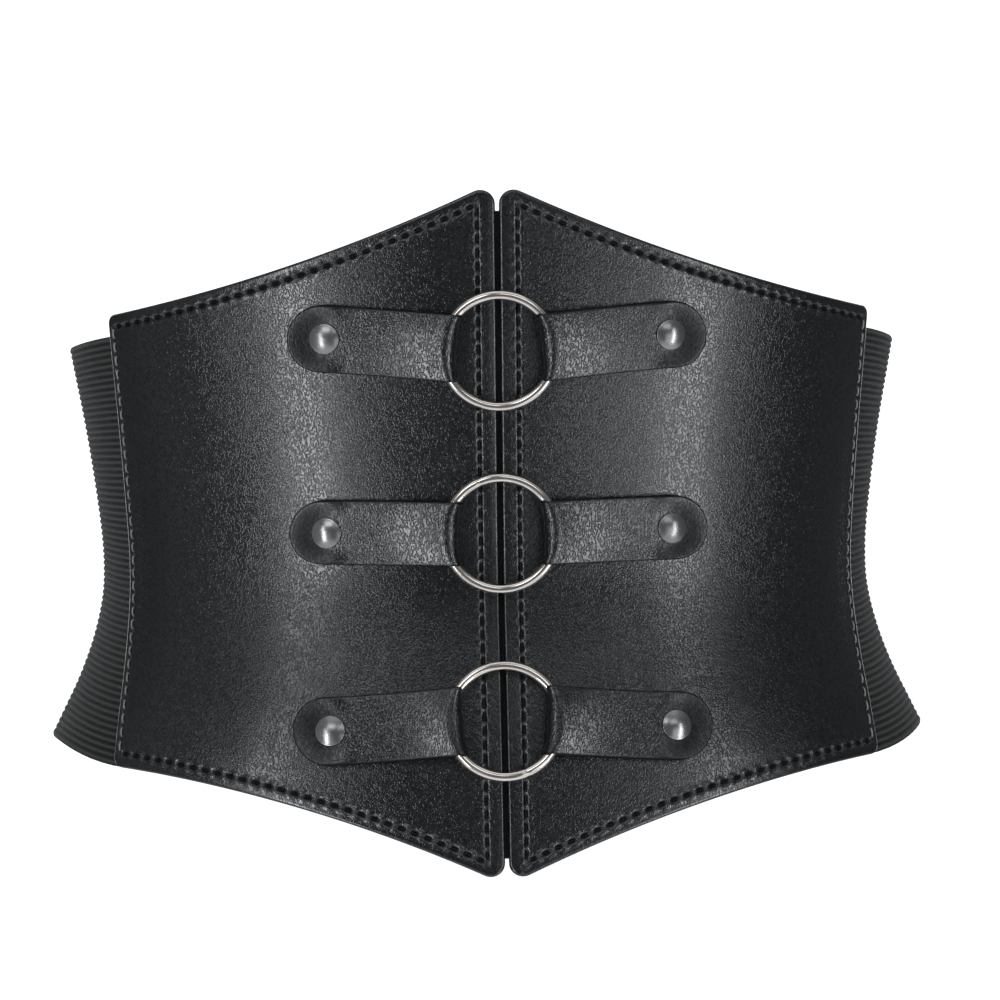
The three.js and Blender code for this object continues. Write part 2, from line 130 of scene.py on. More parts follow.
# Stitching: how far the lines lie from the panel's edges, and the shape of a stitch
STITCH_CENTRE = 5.35 * MM
STITCH_EDGE = 3.9 * MM
STITCH_OUTER = 2.4 * MM
STITCH_PITCH = 4.2 * MM
STITCH_LENGTH = 3.1 * MM
THREAD = 0.5 * MM

# Leather at the stitches: a crease along each line, and slots of a width, length and pucker
CREASE_DEPTH = 0.22 * MM
CREASE_WIDTH = 0.42 * MM
CREASE_FADE = 0.8 * MM
SLOT_DEPTH = 0.75 * MM
PUCKER_APART = 1.1 * MM
PUCKER_WIDTH = 0.6 * MM
CENTRE_SLOT = 0.46 * MM, 2.7 * MM, 0.17 * MM
EDGE_SLOT = 0.78 * MM, 2.1 * MM, 0.26 * MM
OUTER_SLOT = 0.4 * MM, 2.7 * MM, 0.1 * MM
OUTER_PROUD = 0.62 * MM
PADDING = 0.22 * MM

# Ribs of the elastic
RIB_COUNT = 66
RIB_DEPTH = 0.48 * MM

# Loose wrap of the strap's leather round the wire, and how far from the ring's centre it folds
WRAP_PLAY = 1.0 * MM
FOLD_REACH = 12.4 * MM
FOLD_CORNER = 1.1 * MM

# UV units to a metre of a flat piece
UV_SCALE = 10


def read_table(rows, column, place):
    """Value of a column at a place, along a smooth curve through the table's rows"""
    keys = rows[:, 0]
    values = rows[:, column]
    slopes = np.gradient(values, keys)
    slopes[1:-1] = (values[2:] - values[:-2]) / (keys[2:] - keys[:-2])
    i = np.clip(np.searchsorted(keys, place) - 1, 0, len(keys) - 2)
    span = keys[i + 1] - keys[i]
    along = (place - keys[i]) / span
    t = np.clip(along, 0, 1)
    start = (2 * t**3 - 3 * t**2 + 1) * values[i]
    end = (3 * t**2 - 2 * t**3) * values[i + 1]
    leave = (t**3 - 2 * t**2 + t) * span * slopes[i]
    arrive = (t**3 - t**2) * span * slopes[i + 1]
    past = (along - t) * span * np.where(along < 0, slopes[i], slopes[i + 1])
    return start + end + leave + arrive + past


def ellipse_at(z):
    """Half width and half depth of the body at a height"""
    share = np.where(z < 0, z / FRONT_DROP, z / FRONT_RISE)
    half_width = WAIST_WIDTH / 2 * read_table(BODY_SECTIONS, 1, share)
    half_depth = WAIST_DEPTH / 2 * read_table(BODY_SECTIONS, 2, share)
    return half_width, half_depth


GAUSS_PLACES, GAUSS_WEIGHTS = np.polynomial.legendre.leggauss(20)


def ellipse_length(angle, half_width, half_depth):
    """Length round the ellipse from the front's centre to an angle"""
    places = angle[..., None] / 2 * (GAUSS_PLACES + 1)
    speed = np.hypot(half_width[..., None] * np.cos(places), half_depth[..., None] * np.sin(places))
    return angle / 2 * (speed @ GAUSS_WEIGHTS)


def body_point(arc, z):
    """Point of the body at an arc length from the front's centre line and a height"""
    arc, z = np.broadcast_arrays(np.asarray(arc, float), np.asarray(z, float))
    half_width, half_depth = ellipse_at(z)
    angle = np.abs(arc) / (half_width + half_depth) * 2
    for _ in range(5):
        speed = np.hypot(half_width * np.cos(angle), half_depth * np.sin(angle))
        angle = angle - (ellipse_length(angle, half_width, half_depth) - np.abs(arc)) / speed
    x = np.sign(arc) * half_width * np.sin(angle)
    return np.stack([x, -half_depth * np.cos(angle), z], axis=-1)


def unit(vectors):
    return vectors / np.linalg.norm(vectors, axis=-1, keepdims=True)


def body_normal(arc, z):
    near = 0.5 * MM
    along = body_point(arc + near, z) - body_point(arc - near, z)
    up = body_point(arc, z + near) - body_point(arc, z - near)
    return unit(np.cross(along, up))


def on_body(arc, z, lift):
    lift = np.broadcast_to(lift, np.shape(arc))
    return body_point(arc, z) + body_normal(arc, z) * lift[..., None]


def half_round(z):
    half_width, half_depth = ellipse_at(z)
    return ellipse_length(np.full(np.shape(z), math.pi), half_width, half_depth)


def resample(points, count):
    """count equal steps along a line through the points"""
    steps = np.linalg.norm(np.diff(points, axis=0), axis=1)
    walked = np.concatenate([[0], np.cumsum(steps)])
    places = np.linspace(0, walked[-1], count + 1)
    return np.stack([np.interp(places, walked, points[:, k]) for k in range(points.shape[1])], axis=1)


class Outline:
    """A flat shape between two upright sides, with a curved top and bottom and round corners.

    upper and lower give the distance of an edge from the middle line and how fast it falls.
    """

    def __init__(self, left, right, upper, lower, radii):
        self.left = left
        self.right = right
        self.edges = {1: upper, -1: lower}
        self.radii = radii

    def corner(self, inset, up, towards):
        """Centre and radius of a corner's arc, and its directions at the side and at the edge"""
        side = self.left if towards > 0 else self.right
        radius = self.radii[0] if towards > 0 else self.radii[1]
        x = side + towards * max(radius, inset)
        height, fall = self.edges[up](x)
        slant = math.hypot(1, fall)
        centre = np.array([x, height - max(radius, inset) * slant])
        outwards = np.array([-towards, 0.0]), np.array([fall, 1]) / slant
        return centre, max(radius - inset, 0), outwards

    def half_arc(self, inset, up, towards, to_edge):
        """From the middle of a corner's arc to the edge's end of it, or to the side's"""
        centre, radius, (side, edge) = self.corner(inset, up, towards)
        middle = unit(side + edge)
        aim = edge if to_edge else side
        shares = np.linspace(0, 1, 9)[:, None]
        return centre + radius * unit(middle * (1 - shares) + aim * shares)

    def edge(self, inset, up, count):
        """The upper or lower border from left to right, at an inset"""
        first = self.half_arc(inset, up, 1, True)
        last = self.half_arc(inset, up, -1, True)[::-1]
        x = np.linspace(first[-1, 0], last[0, 0], 400)
        height, fall = self.edges[up](x)
        slant = np.hypot(1, fall)
        line = np.stack([x, height - inset * slant], axis=1)
        points = resample(np.concatenate([first[:-1], line, last[1:]]), count)
        return points * (1, up)

    def side(self, inset, towards, count):
        """The left or right border from top to bottom, at an inset"""
        upper = self.half_arc(inset, 1, towards, False)
        lower = self.half_arc(inset, -1, towards, False)[::-1] * (1, -1)
        return resample(np.concatenate([upper, lower]), count)

    def loop(self, inset, across, along):
        """The border at an inset, from the top left corner round to the right"""
        top = self.edge(inset, 1, across)
        right = self.side(inset, -1, along)
        bottom = self.edge(inset, -1, across)[::-1]
        left = self.side(inset, 1, along)[::-1]
        return np.concatenate([top[:-1], right[:-1], bottom[:-1], left[:-1]])


def fill_loop(loop, across, along, step):
    """Places of a grid inside a loop, for every step-th point of it"""
    top = loop[: across + 1 : step]
    right = loop[across : across + along + 1 : step]
    bottom = loop[across + along : 2 * across + along + 1 : step][::-1]
    left = np.concatenate([loop[2 * across + along :], loop[:1]])[::step][::-1]
    s = np.linspace(0, 1, len(top))[:, None, None]
    t = np.linspace(0, 1, len(right))[None, :, None]
    ruled = (1 - t) * top[:, None] + t * bottom[:, None] + (1 - s) * left[None] + s * right[None]
    corners = (1 - s) * ((1 - t) * top[0] + t * bottom[0]) + s * ((1 - t) * top[-1] + t * bottom[-1])
    return ruled - corners


def quads(rows, sides, around=False):
    """Faces between rings of points, and from the last ring to the first one if around"""
    faces = []
    for i in range(rows if around else rows - 1):
        low = i * sides
        high = (i + 1) % rows * sides
        for j in range(sides):
            k = (j + 1) % sides
            faces.append((low + j, low + k, high + k, high + j))
    return faces


def turned(faces):
    """The same faces, seen from their other side"""
    return [tuple(reversed(face)) for face in faces]


def patch(outline, insets, across, along, step):
    """Flat mesh of an outline: loops at the insets, and a coarser grid inside the last one.

    Returns its places, the inset of each and its faces. The first loop comes first.
    """
    loops = [outline.loop(inset, across, along) for inset in insets]
    size = len(loops[0])
    columns = across // step
    rows = along // step
    grid = fill_loop(loops[-1], across, along, step)
    inner = grid[1:-1, 1:-1].reshape(-1, 2)
    places = np.concatenate([*loops, inner])
    depth = np.concatenate([np.repeat(insets, size), np.full(len(inner), insets[-1])])
    faces = quads(len(loops), size)
    last = (len(loops) - 1) * size

    def border(a, b):
        if b == 0:
            return a * step
        if a == columns:
            return across + b * step
        if b == rows:
            return across + along + (columns - a) * step
        return (2 * across + along + (rows - b) * step) % size

    def vertex(a, b):
        if 0 < a < columns and 0 < b < rows:
            return len(loops) * size + (a - 1) * (rows - 1) + b - 1
        return last + border(a, b)

    def walk(a, b, c, d):
        """A cell's side, with the loop's own points where it lies on the loop"""
        on_loop = b == d and b in (0, rows) or a == c and a in (0, columns)
        if not on_loop:
            return [vertex(a, b)]
        return [last + (border(a, b) + k) % size for k in range(step)]

    for a in range(columns):
        for b in range(rows):
            face = walk(a, b, a + 1, b)
            face += walk(a + 1, b, a + 1, b + 1)
            face += walk(a + 1, b + 1, a, b + 1)
            face += walk(a, b + 1, a, b)
            faces.append(tuple(face))
    return places, depth, faces, size


def rounded(inset, radius):
    """How far a wall's face falls back at its rounded edge"""
    near = np.clip(radius - inset, 0, radius)
    return radius - np.sqrt(radius**2 - near**2)


def make_object(name, points, faces, material, uv=None, marks=None):
    """A smooth mesh that rides on the belt. marks are named values for its material"""
    mesh = bpy.data.meshes.new(name)
    mesh.from_pydata(np.asarray(points).tolist(), [], faces)
    mesh.polygons.foreach_set("use_smooth", [True] * len(mesh.polygons))
    if uv is not None:
        corners = np.empty(len(mesh.loops), int)
        mesh.loops.foreach_get("vertex_index", corners)
        layer = mesh.uv_layers.new(name="flat")
        layer.data.foreach_set("uv", np.asarray(uv)[corners].astype(np.float32).ravel())
    for key, values in (marks or {}).items():
        attribute = mesh.attributes.new(key, "FLOAT", "POINT")
        attribute.data.foreach_set("value", np.asarray(values, np.float32))
    mesh.materials.append(material)
    mesh.update()
    piece = bpy.data.objects.new(name, mesh)
    bpy.context.scene.collection.objects.link(piece)
    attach(piece, "root")
    return piece


def close_wall(outer, inner, faces, inner_faces, size, flip):
    """Points and faces of a wall from two patches whose first loops meet at the rim"""
    points = np.concatenate([outer, inner])
    start = len(outer)
    back = [tuple(start + v for v in face) for face in turned(inner_faces)]
    rim = [(i, start + i, start + (i + 1) % size, (i + 1) % size) for i in range(size)]
    every = list(faces) + back + rim
    return points, turned(every) if flip else every


# Materials


class Nodes:
    """Short ways to build one material's nodes"""

    def __init__(self, name):
        self.material = bpy.data.materials.new(name)
        self.material.use_nodes = True
        self.tree = self.material.node_tree
        self.shader = self.tree.nodes["Principled BSDF"]
        self.place = self.add("ShaderNodeTexCoord")

    def add(self, kind, **values):
        node = self.tree.nodes.new(kind)
        for key, value in values.items():
            setattr(node, key, value)
        return node

    def feed(self, value, socket):
        if isinstance(value, bpy.types.NodeSocket):
            self.tree.links.new(value, socket)
        else:
            socket.default_value = value

    def noise(self, scale, detail=3.0, roughness=0.55, vector=None):
        node = self.add("ShaderNodeTexNoise")
        self.feed(vector or self.place.outputs["Object"], node.inputs["Vector"])
        node.inputs["Scale"].default_value = scale
        node.inputs["Detail"].default_value = detail
        node.inputs["Roughness"].default_value = roughness
        return node.outputs["Fac"]

    def math(self, operation, a, b=0.0):
        node = self.add("ShaderNodeMath", operation=operation)
        self.feed(a, node.inputs[0])
        self.feed(b, node.inputs[1])
        return node.outputs[0]

    def spread(self, value, low, high, to_low, to_high):
        node = self.add("ShaderNodeMapRange")
        self.feed(value, node.inputs["Value"])
        for socket, number in zip(node.inputs[1:5], (low, high, to_low, to_high)):
            self.feed(number, socket)
        return node.outputs[0]

    def blend(self, share, low, high):
        node = self.add("ShaderNodeMix", data_type="RGBA")
        self.feed(share, node.inputs["Factor"])
        self.feed(low, node.inputs["A"])
        self.feed(high, node.inputs["B"])
        return node.outputs["Result"]

    def mark(self, name):
        node = self.add("ShaderNodeAttribute", attribute_name=name)
        return node.outputs["Fac"]

    def bump(self, height, distance, strength=1.0, under=None):
        node = self.add("ShaderNodeBump")
        self.feed(height, node.inputs["Height"])
        self.feed(strength, node.inputs["Strength"])
        node.inputs["Distance"].default_value = distance
        if under is not None:
            self.feed(under, node.inputs["Normal"])
        return node.outputs["Normal"]

    def finish(self, colour, roughness, normal, metallic=0.0, **numbers):
        self.feed(colour, self.shader.inputs["Base Color"])
        self.feed(roughness, self.shader.inputs["Roughness"])
        self.feed(normal, self.shader.inputs["Normal"])
        self.shader.inputs["Metallic"].default_value = metallic
        for key, value in numbers.items():
            self.shader.inputs[key.replace("_", " ")].default_value = value
        return self.material


def leather(name, grain_size, grain_depth, gloss, slant, tint):
    """Coated leather: a slanting grain of creases, finer wrinkles in it, and slow changes of gloss.

    The mark rim calms the grain at the edges. A second mark paints shade: it roughens the leather and cuts
    its reflection in the stitch slots, along the straps' edges, round a rivet and over a panel's back.
    """
    n = Nodes(name)
    rim = n.mark("rim")
    painted_shade = n.mark("painted_shade")
    stretched = n.add("ShaderNodeMapping")
    n.feed(n.place.outputs["Object"], stretched.inputs["Vector"])
    stretched.inputs["Rotation"].default_value = (0.0, math.radians(slant), 0.0)
    stretched.inputs["Scale"].default_value = (1.0, 1.0, 0.6)
    winding = n.noise(1 / grain_size, 1.0, 0.5, stretched.outputs[0])
    from_crease = n.math("ABSOLUTE", n.math("SUBTRACT", winding, 0.5))
    creases = n.spread(from_crease, 0.0, 0.1, 0.0, 1.0)
    wrinkles = n.noise(2.2 / grain_size, 2.0, 0.6)
    grain = n.math("ADD", creases, n.math("MULTIPLY", wrinkles, 0.9))
    calm = n.spread(rim, 0.0, 1.0, 1.0, 0.25)
    patches = n.noise(24.0, 2.0)
    strength = n.math("MULTIPLY", calm, n.spread(patches, 0.3, 0.7, 0.75, 1.0))
    slow = n.bump(n.noise(38.0, 2.0), 0.5 * MM, 0.2)
    fine = n.bump(grain, grain_depth, strength, slow)
    dark, light = [tuple(c * k for c in tint) + (1.0,) for k in (0.75, 1.3)]
    colour = n.blend(creases, dark, light)
    rough = n.spread(n.noise(55.0, 4.0), 0.3, 0.7, gloss - 0.035, gloss + 0.045)
    # Painted shade from the second mark: rougher leather and a reflection cut to 0.12 of itself
    rough = n.math("ADD", rough, n.math("MULTIPLY", painted_shade, 0.3))
    shine = n.spread(creases, 0.0, 1.0, 0.3, 0.6)
    shine = n.math("ADD", shine, n.math("MULTIPLY", wrinkles, 0.15))
    shine = n.math("MULTIPLY", shine, n.spread(painted_shade, 0.0, 1.0, 1.0, 0.12))
    n.feed(shine, n.shader.inputs["Specular IOR Level"])
    return n.finish(colour, rough, fine, IOR=1.5)


YARN_PITCH = 0.62 * MM


def ribbed_elastic():
    """Knitted elastic: fuzzy yarns that cross the ribs, with painted shade that darkens the valleys between
    the ribs nearly to black
    """
    n = Nodes("elastic")
    crest = n.mark("crest")
    split = n.add("ShaderNodeSeparateXYZ")
    n.feed(n.place.outputs["UV"], split.inputs[0])
    along = n.math("MULTIPLY", split.outputs[0], 2 * math.pi / (YARN_PITCH * UV_SCALE))
    yarn = n.math("SINE", n.math("ADD", along, n.math("MULTIPLY", n.noise(900.0, 2.0), 2.2)))
    fuzz = n.noise(2600.0, 4.0, 0.7)
    weave = n.bump(n.math("ADD", n.math("MULTIPLY", yarn, 0.35), fuzz), 0.16 * MM, 0.9)
    # Painted shade: the colour falls from grey on the crests to nearly black in the valleys
    shade = n.math("MULTIPLY", n.math("POWER", crest, 3.0), n.spread(fuzz, 0.3, 0.7, 0.4, 1.3))
    colour = n.blend(shade, (0.0015, 0.0015, 0.0015, 1.0), (0.045, 0.044, 0.042, 1.0))
    rough = n.spread(fuzz, 0.3, 0.7, 0.75, 0.95)
    return n.finish(colour, rough, weave, Specular_IOR_Level=0.2, Sheen_Weight=0.04, Sheen_Roughness=0.5)


def placket_cloth():
    n = Nodes("placket")
    threads = n.noise(1800.0, 4.0, 0.7)
    weave = n.bump(threads, 0.12 * MM, 0.8)
    colour = n.blend(threads, (0.004, 0.004, 0.004, 1.0), (0.014, 0.014, 0.014, 1.0))
    return n.finish(colour, n.spread(threads, 0.3, 0.7, 0.8, 0.95), weave)


def sewing_thread():
    """Twisted thread with a soft sheen, and a pale grey painted highlight on the outer seam's thread"""
    n = Nodes("thread")
    split = n.add("ShaderNodeSeparateXYZ")
    n.feed(n.place.outputs["UV"], split.inputs[0])
    turns = n.math("ADD", n.math("MULTIPLY", split.outputs[0], 9 * math.pi), split.outputs[1])
    twist = n.bump(n.math("SINE", turns), 0.07 * MM, 0.8)
    colour = n.blend(n.noise(2500.0), (0.003, 0.003, 0.0034, 1.0), (0.01, 0.01, 0.0105, 1.0))
    # Painted highlight: the outer seam's thread is coloured pale grey
    colour = n.blend(n.mark("painted_glint"), colour, (0.22, 0.22, 0.215, 1.0))
    rough = n.spread(n.noise(1500.0), 0.3, 0.7, 0.5, 0.68)
    return n.finish(colour, rough, twist, Specular_IOR_Level=0.12)


def polished(name, colour, worn, gloss, dented, metal):
    """Plated metal: faint wiping marks, and a little duller where it is worn. gloss is a roughness"""
    n = Nodes(name)
    marks = n.noise(420.0, 6.0, 0.7)
    dents = n.noise(150.0, 2.0)
    normal = n.bump(marks, 0.02 * MM, 0.12, n.bump(dents, 0.05 * MM, dented))
    wear = n.spread(n.noise(90.0, 5.0, 0.65), 0.45, 0.7, 0.0, 1.0)
    rough = n.spread(wear, 0.0, 1.0, gloss, gloss + 0.1)
    return n.finish(n.blend(wear, colour, worn), rough, normal, metallic=metal)


MATERIALS = {
    "panel": leather("panel_leather", 0.8 * MM, 0.036 * MM, 0.19, slant=35, tint=(0.0028, 0.003, 0.0033)),
    "strap": leather("strap_leather", 0.95 * MM, 0.05 * MM, 0.19, slant=15, tint=(0.0028, 0.003, 0.0032)),
    "elastic": ribbed_elastic(),
    "placket": placket_cloth(),
    "thread": sewing_thread(),
    "ring": polished(
        "ring_metal",
        colour=(0.58, 0.53, 0.48, 1.0), worn=(0.44, 0.39, 0.345, 1.0), gloss=0.11, dented=0.3, metal=1.0,
    ),
    "rivet": polished(
        "rivet_metal",
        colour=(0.21, 0.21, 0.208, 1.0), worn=(0.17, 0.168, 0.163, 1.0), gloss=0.24, dented=0.1, metal=0.95,
    ),
}


# Panels


def edge_line(centre, side):
    """An unrounded upper or lower edge of a panel, as Outline wants it"""
    width = PANEL_REACH - PANEL_START

    def line(arc):
        share = (arc - PANEL_START) / width
        height = centre + (side - centre) * share - 4 * EDGE_SAG * share * (1 - share)
        fall = (centre - side + 4 * EDGE_SAG * (1 - 2 * share)) / width
        return height, fall

    return line


def level(height):
    """A straight upper or lower edge, as Outline wants it"""
    return lambda arc: (height + 0 * arc, 0 * arc)


UPPER_EDGE = edge_line(FRONT_RISE, SIDE_RISE)
LOWER_EDGE = edge_line(FRONT_DROP, SIDE_DROP)
PANEL_OUTLINE = Outline(PANEL_START, PANEL_REACH, UPPER_EDGE, LOWER_EDGE, (TIP_RADIUS, CORNER_RADIUS))
PANEL_ROUND = 0.9 * MM
RIM_WIDTH = 1.3 * MM

# Mesh of a panel: points along its borders, the step of the grid inside, and the loops' insets
PANEL_ACROSS = 240
PANEL_ALONG = 360
PANEL_STEP = 4
ROUND_INSETS = np.array([0, 0.02, 0.07, 0.15, 0.27, 0.42, 0.6, 0.8, 1.1]) * MM
SEAM_INSETS = np.concatenate([
    [1.6, 2.0, 2.4, 2.7],
    np.arange(3.0, 5.6, 0.25),
    [5.8, 6.3, 7.0, 8.0, 9.0],
]) * MM
BACK_INSETS = np.array([2.4, 3.75, 9.0]) * MM


def panel_arc(arc, z, sign):
    """Arc length on the body of a place on a panel, which leans out over the waist"""
    return sign * arc * (1 + PANEL_LEAN / PANEL_REACH * np.maximum(z, 0) / SIDE_RISE)


class Seam:
    """A line of stitches, with the way to tell how far a place is beside it and along it"""

    def __init__(self, points, proud, slot):
        steps = np.linalg.norm(np.diff(points, axis=0), axis=1)
        self.points = points
        self.walked = np.concatenate([[0], np.cumsum(steps)])
        self.length = self.walked[-1]
        self.count = round(self.length / STITCH_PITCH)
        self.proud = proud
        self.slot_width, self.slot_length, self.pucker = slot

    def at(self, walked):
        places = [np.interp(walked, self.walked, self.points[:, k]) for k in (0, 1)]
        return np.stack(places, axis=-1)

    def measure(self, places):
        """Distance beside the line, along it and past its ends, for places near it"""
        span = np.abs(self.points[-1] - self.points[0])
        key = 1 if span[1] > span[0] else 0
        order = np.argsort(self.points[:, key])
        along = np.interp(places[:, key], self.points[order, key], self.walked[order])
        near = self.at(along)
        ahead = self.at(np.minimum(along + MM, self.length)) - self.at(np.maximum(along - MM, 0))
        direction = unit(ahead)
        apart = places - near
        beside = apart[:, 0] * direction[:, 1] - apart[:, 1] * direction[:, 0]
        before = self.points[:, key].min() - places[:, key]
        after = places[:, key] - self.points[:, key].max()
        return beside, along, np.maximum(np.maximum(before, after), 0)


def panel_seams():
    """The lines along a panel's upper, lower, centre and outer edge"""
    centre = PANEL_START + STITCH_CENTRE
    outer = PANEL_REACH - STITCH_OUTER
    seams = []
    corners = {}
    for up, edge in ((1, UPPER_EDGE), (-1, LOWER_EDGE)):
        arcs = np.linspace(centre, outer, 200)
        height, fall = edge(arcs)
        line = np.stack([arcs, up * (height - STITCH_EDGE * np.hypot(1, fall))], axis=1)
        corners[up] = line[0, 1], line[-1, 1]
        seams.append(Seam(line, 0.0, EDGE_SLOT))
    for end, arc, proud, slot in ((0, centre, 0.0, CENTRE_SLOT), (1, outer, OUTER_PROUD, OUTER_SLOT)):
        heights = np.linspace(corners[1][end], corners[-1][end], 200)
        line = np.stack([np.full(200, arc), heights], axis=1)
        seams.append(Seam(line, proud, slot))
    return seams


SEAMS = panel_seams()


def seam_relief(places):
    """How far the leather stands over its smooth face near the stitches, and how much painted shade its
    creases and slots get
    """
    relief = np.zeros(len(places))
    painted_shade = np.zeros(len(places))
    for seam in SEAMS:
        beside, along, past = seam.measure(places)
        inside = np.exp(-((past / CREASE_FADE) ** 2))
        pitch = seam.length / seam.count
        phase = along / pitch
        from_middle = (phase - np.floor(phase) - 0.5) * pitch
        slot = 1 / (1 + (np.abs(from_middle) / (seam.slot_length / 2)) ** 8)
        crease = -CREASE_DEPTH * np.exp(-((beside / CREASE_WIDTH) ** 2))
        dip = -SLOT_DEPTH * slot * np.exp(-((beside / seam.slot_width) ** 2))
        bridge = 0.55 + 0.45 * np.cos(2 * math.pi * phase)
        from_pucker = np.abs(beside) - PUCKER_APART
        puffed = seam.pucker * bridge * np.exp(-((from_pucker / PUCKER_WIDTH) ** 2))
        relief += inside * (crease + dip + puffed)
        # Painted shade, deepest in the slots and creases
        painted_shade += inside * np.minimum(-(crease + dip) / SLOT_DEPTH, 1)
    strip = np.clip((places[:, 0] - PANEL_START) / STITCH_CENTRE, 0, 1)
    padding = PADDING * np.sin(math.pi * strip) ** 2
    return relief + padding, np.clip(painted_shade, 0, 1)


def panel_object(name, sign):
    """A padded leather panel with a rounded edge, pressed in along its stitches"""
    mesh = PANEL_ACROSS, PANEL_ALONG, PANEL_STEP
    insets = np.concatenate([ROUND_INSETS, SEAM_INSETS])
    places, depth, faces, size = patch(PANEL_OUTLINE, insets, *mesh)
    back_insets = np.concatenate([ROUND_INSETS, BACK_INSETS])
    back, back_depth, back_faces, _ = patch(PANEL_OUTLINE, back_insets, *mesh)
    relief, painted_shade = seam_relief(places)
    lift = PANEL_OUTER - rounded(depth, PANEL_ROUND) + relief
    back_lift = PANEL_INNER + rounded(back_depth, PANEL_ROUND)
    outer = on_body(panel_arc(places[:, 0], places[:, 1], sign), places[:, 1], lift)
    inner = on_body(panel_arc(back[:, 0], back[:, 1], sign), back[:, 1], back_lift)
    points, every = close_wall(outer, inner, faces, back_faces, size, sign > 0)
    rim = np.exp(-((np.concatenate([depth, back_depth]) / RIM_WIDTH) ** 2))
    uv = np.concatenate([places, back]) * UV_SCALE
    # Painted shade at the stitches on the face, and in full over the whole back
    marks = {"rim": rim, "painted_shade": np.concatenate([painted_shade, np.ones(len(back))])}
    piece = make_object(name, points, every, MATERIALS["panel"], uv, marks)
    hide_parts(name.replace("_face", ""))


def tube(path, sideways, radii, sides):
    """Closed tube along a path. sideways is a direction across it, and radii its thickness"""
    along = unit(np.gradient(path, axis=0))
    across = unit(sideways - along * (sideways * along).sum(axis=1)[:, None])
    up = np.cross(along, across)
    turns = np.linspace(0, 2 * math.pi, sides, endpoint=False)
    ring = across[:, None] * np.cos(turns)[None, :, None] + up[:, None] * np.sin(turns)[None, :, None]
    points = (path[:, None] + ring * radii[:, None, None]).reshape(-1, 3)
    rows = len(path)
    faces = quads(rows, sides)
    faces.append(tuple(reversed(range(sides))))
    faces.append(tuple(range((rows - 1) * sides, rows * sides)))
    shares = np.repeat(np.linspace(0, 1, rows), sides)
    uv = np.stack([shares, np.tile(turns, rows)], axis=1)
    return points, faces, uv


STITCH_RINGS = 11
STITCH_SINK = 0.6 * MM
STITCH_DIP = 0.85 * MM
BACK_SINK = 0.05 * MM
THREAD_SIDES = 8


def stitches_object(name, sign):
    """Every stitch of a panel's face and back, each one dipping into the leather at its ends"""
    shares = np.linspace(-1, 1, STITCH_RINGS)
    radii = THREAD / 2 * (1 - 0.35 * shares**6)
    points, faces, uv, painted_glint = [], [], [], []
    for seam in SEAMS:
        for k in range(seam.count):
            middle = (k + 0.5) * seam.length / seam.count
            places = seam.at(middle + shares * STITCH_LENGTH / 2)
            arcs = panel_arc(places[:, 0], places[:, 1], sign)
            dip = STITCH_DIP * np.abs(shares) ** 4
            front = PANEL_OUTER - STITCH_SINK + seam.proud - dip
            behind = PANEL_INNER - BACK_SINK + dip
            for lift in (front, behind):
                path = on_body(arcs, places[:, 1], lift)
                sideways = body_normal(arcs, places[:, 1])
                some, more, flat = tube(path, sideways, radii, THREAD_SIDES)
                start = sum(len(p) for p in points)
                faces += [tuple(start + v for v in face) for face in more]
                points.append(some)
                uv.append(flat)
                # The outer seam's thread is marked for its painted highlight
                painted_glint.append(np.full(len(some), float(seam.proud > 0)))
    marks = {"painted_glint": np.concatenate(painted_glint)}
    uv = np.concatenate(uv)
    piece = make_object(name, np.concatenate(points), faces, MATERIALS["thread"], uv, marks)


# Elastic band and placket

BAND_COLUMNS = 100
RIB_STEPS = 5
RIB_CREST = 0.6
INNER_RIBS = 0.8


def band_object():
    """The ribbed elastic, from behind one panel round the back to behind the other"""
    start = PANEL_REACH - BAND_TUCK
    back_length = float(half_round(np.array(0.0))) - start
    shares = np.linspace(0, 1, BAND_COLUMNS + 1)
    from_end = np.minimum(shares, 1 - shares) * 2
    around = (from_end * back_length - BAND_TUCK) / (back_length - BAND_TUCK)
    top = BAND_RISE * read_table(BAND_SECTIONS, 1, around)
    bottom = -BAND_DROP * read_table(BAND_SECTIONS, 2, around)
    rows = RIB_COUNT * RIB_STEPS
    steps = np.linspace(0, 1, rows + 1)
    z = bottom[:, None] + (top - bottom)[:, None] * steps
    arcs = start + 2 * (half_round(z) - start) * shares[:, None]
    crest = (0.5 - 0.5 * np.cos(2 * math.pi * steps * RIB_COUNT)) ** RIB_CREST
    flat_crest = np.broadcast_to(crest, z.shape)
    outer = on_body(arcs, z, BAND_WALL - RIB_DEPTH * (1 - flat_crest))
    inner = on_body(arcs, z, INNER_RIBS * RIB_DEPTH * (1 - flat_crest))
    points = np.concatenate([outer.reshape(-1, 3), inner.reshape(-1, 3)])
    size = outer[..., 0].size

    def out(i, j):
        return i * (rows + 1) + j

    def back(i, j):
        return size + out(i, j)

    faces = []
    for i in range(BAND_COLUMNS):
        for j in range(rows):
            faces.append((out(i, j), out(i + 1, j), out(i + 1, j + 1), out(i, j + 1)))
            faces.append((back(i, j), back(i, j + 1), back(i + 1, j + 1), back(i + 1, j)))
        faces.append((back(i, 0), back(i + 1, 0), out(i + 1, 0), out(i, 0)))
        faces.append((out(i, rows), out(i + 1, rows), back(i + 1, rows), back(i, rows)))
    last = BAND_COLUMNS
    for j in range(rows):
        faces.append((out(0, j), out(0, j + 1), back(0, j + 1), back(0, j)))
        faces.append((back(last, j), back(last, j + 1), out(last, j + 1), out(last, j)))
    uv = np.stack([arcs, z], axis=-1).reshape(-1, 2) * UV_SCALE
    marks = {"crest": np.tile(flat_crest.reshape(-1), 2)}
    piece = make_object("elastic_face", points, faces, MATERIALS["elastic"], np.tile(uv, (2, 1)), marks)
    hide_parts("elastic_band")


PLACKET_INSETS = np.array([0, 0.1, 0.3, 0.6]) * MM
PLACKET_ROUND = 0.6 * MM
PLACKET_CORNER = 2 * MM
PLACKET_MESH = 16, 160, 2


